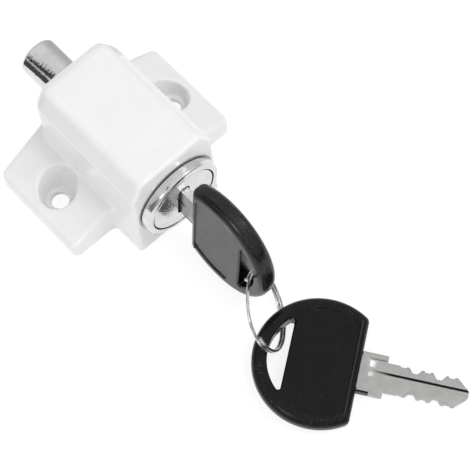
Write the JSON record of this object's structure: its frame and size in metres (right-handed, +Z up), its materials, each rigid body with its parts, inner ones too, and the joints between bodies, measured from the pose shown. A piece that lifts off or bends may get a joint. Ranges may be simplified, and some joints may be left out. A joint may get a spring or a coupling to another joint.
{
  "type": "sliding window lock",
  "caption": "Push-in sliding window lock: white housing with two screw ears, chrome barrel and bolt, and two keys on a split ring.",
  "frame": {"origin": "on the mounting face, midway between the two screw holes", "axes": "+X across the ears, +Y along the bolt towards its free end, +Z up out of the mounting face"},
  "size_m": [0.05, 0.1307, 0.0321],
  "materials": {
    "white_paint": "gloss white powder coat on a zinc die casting",
    "chrome": "bright nickel-chrome plating, lightly brushed",
    "cast_zinc": "machined zinc, dull",
    "hardened_steel": "zinc-plated steel, satin",
    "brass": "stamped brass",
    "spring_steel": "drawn spring wire",
    "nickel_silver": "milled nickel silver, brushed along the blade",
    "black_plastic": "gloss moulded plastic, fine scuffs"
  },
  "bodies": {
    "housing": {"housing": "white_paint", "stop_pin": "hardened_steel", "return_spring": "spring_steel"},
    "barrel": {"barrel": "cast_zinc", "bezel": "chrome", "guide_foot": "hardened_steel", "bolt": "chrome", "bolt_pins": "hardened_steel", "latch_spring": "spring_steel"},
    "plug": {"plug": "cast_zinc", "plug_cap": "chrome", "retaining_washer": "hardened_steel", "cam": "hardened_steel", "cam_screw": "hardened_steel", "wafer_spring_1": "spring_steel", "wafer_spring_2": "spring_steel", "wafer_spring_3": "spring_steel", "wafer_spring_4": "spring_steel", "wafer_spring_5": "spring_steel"},
    "latch_pin": {"latch_pin": "hardened_steel"},
    "key_1": {"key_1_blade": "nickel_silver", "key_1_head": "black_plastic"},
    "ring": {"split_ring": "spring_steel"},
    "key_2": {"key_2_blade": "nickel_silver", "key_2_head": "black_plastic"},
    "wafer_1": {"wafer_1": "brass"},
    "wafer_2": {"wafer_2": "brass"},
    "wafer_3": {"wafer_3": "brass"},
    "wafer_4": {"wafer_4": "brass"},
    "wafer_5": {"wafer_5": "brass"}
  },
  "joints": [
    {"name": "barrel_slide", "type": "slide", "parent": "housing", "child": "barrel", "axis": [0, -1, 0], "range_m": [0, 0.012], "deforming": ["return_spring"]},
    {"name": "plug_turn", "type": "hinge", "parent": "barrel", "child": "plug", "pos_m": [0, -0.015, 0.0161], "axis": [0, 1, 0], "range_deg": [0, 90]},
    {"name": "latch_throw", "type": "slide", "parent": "barrel", "child": "latch_pin", "axis": [0, 0, 1], "range_m": [0, 0.0018], "deforming": ["latch_spring"]},
    {"name": "key_1_withdraw", "type": "slide", "parent": "plug", "child": "key_1", "axis": [0, -1, 0], "range_m": [0, 0.0205]},
    {"name": "ring_swing", "type": "hinge", "parent": "key_1", "child": "ring", "pos_m": [-0.00019, -0.05015, 0.01429], "axis": [-0.6123, -0.1941, 0.7664], "range_deg": [-15, 30]},
    {"name": "key_2_swing", "type": "hinge", "parent": "ring", "child": "key_2", "pos_m": [-0.00669, -0.06528, 0.00461], "axis": [-0.631, -0.236, 0.739], "range_deg": [-36, 8]},
    {"name": "wafer_1_lift", "type": "slide", "parent": "plug", "child": "wafer_1", "axis": [-0.1045, 0, -0.9945], "range_m": [0, 0.001], "deforming": ["wafer_spring_1"]},
    {"name": "wafer_2_lift", "type": "slide", "parent": "plug", "child": "wafer_2", "axis": [0.1045, 0, 0.9945], "range_m": [0, 0.001], "deforming": ["wafer_spring_2"]},
    {"name": "wafer_3_lift", "type": "slide", "parent": "plug", "child": "wafer_3", "axis": [-0.1045, 0, -0.9945], "range_m": [0, 0.001], "deforming": ["wafer_spring_3"]},
    {"name": "wafer_4_lift", "type": "slide", "parent": "plug", "child": "wafer_4", "axis": [0.1045, 0, 0.9945], "range_m": [0, 0.001], "deforming": ["wafer_spring_4"]},
    {"name": "wafer_5_lift", "type": "slide", "parent": "plug", "child": "wafer_5", "axis": [-0.1045, 0, -0.9945], "range_m": [0, 0.001], "deforming": ["wafer_spring_5"]}
  ],
  "couplings": [
    {"joint": "latch_throw", "follows": "plug_turn", "m_per_rad": 0.0011459},
    {"joint": "wafer_1_lift", "follows": "key_1_withdraw", "ratio": 0.04878},
    {"joint": "wafer_2_lift", "follows": "key_1_withdraw", "ratio": 0.04878},
    {"joint": "wafer_3_lift", "follows": "key_1_withdraw", "ratio": 0.04878},
    {"joint": "wafer_4_lift", "follows": "key_1_withdraw", "ratio": 0.04878},
    {"joint": "wafer_5_lift", "follows": "key_1_withdraw", "ratio": 0.04878}
  ]
}
